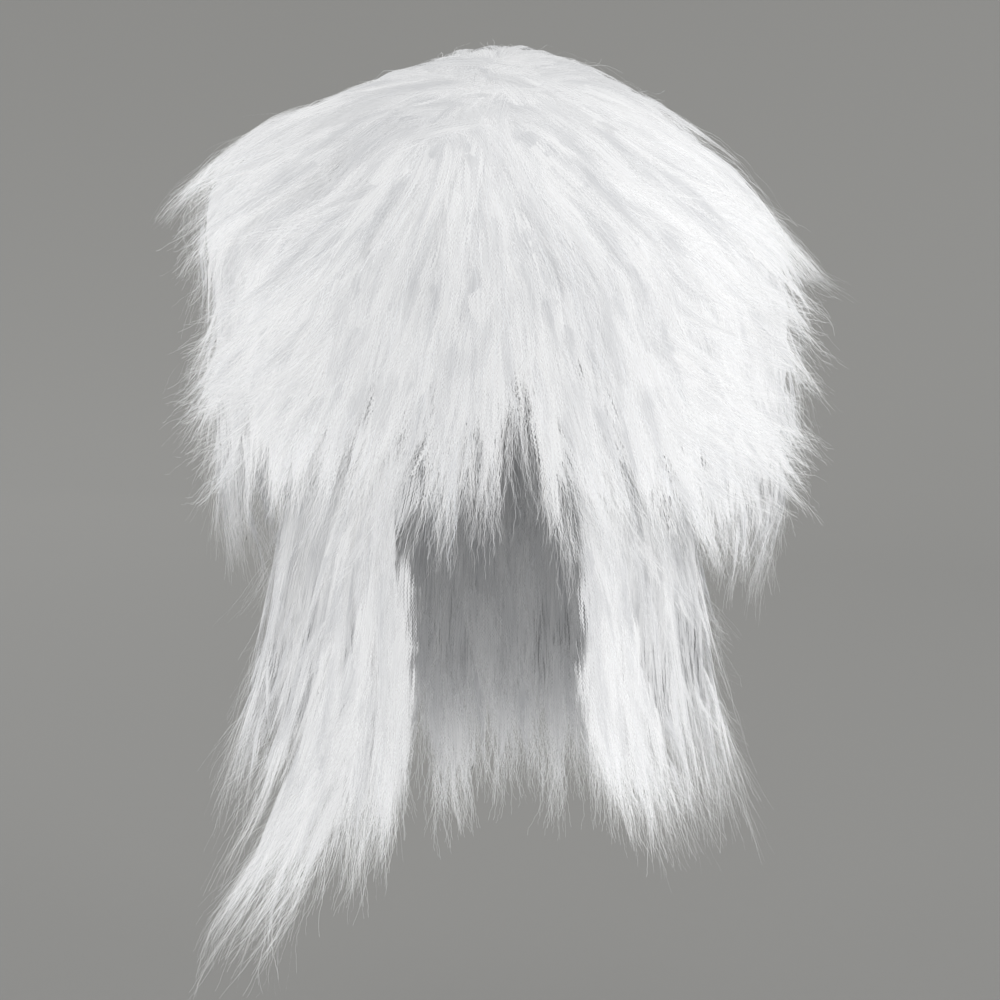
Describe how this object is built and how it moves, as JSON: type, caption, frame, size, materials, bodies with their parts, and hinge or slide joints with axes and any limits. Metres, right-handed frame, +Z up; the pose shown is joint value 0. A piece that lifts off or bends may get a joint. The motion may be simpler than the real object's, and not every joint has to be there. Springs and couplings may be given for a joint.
{
  "type": "wig",
  "caption": "White, fluffy, layered wig: a full fringe, flicked sides and long nape locks sewn over a net cap that sits on the head.",
  "frame": {"origin": "inside top of the cap, where it sits on the crown of the head", "axes": "+Z up; the face looks along -Y; +X is the wearer's left"},
  "size_m": [0.371, 0.3045, 0.5139],
  "materials": {
    "white_hair": "crimped synthetic fibre, soft sheen",
    "cap_net": "matte stretch net with sewn tapes"
  },
  "bodies": {
    "root": {"wig_cap": "cap_net", "crown_layer": "white_hair", "fringe": "white_hair", "side_right": "white_hair", "side_left": "white_hair", "back_layer": "white_hair", "long_right": "white_hair", "long_left": "white_hair", "long_back": "white_hair"}
  },
  "joints": []
}
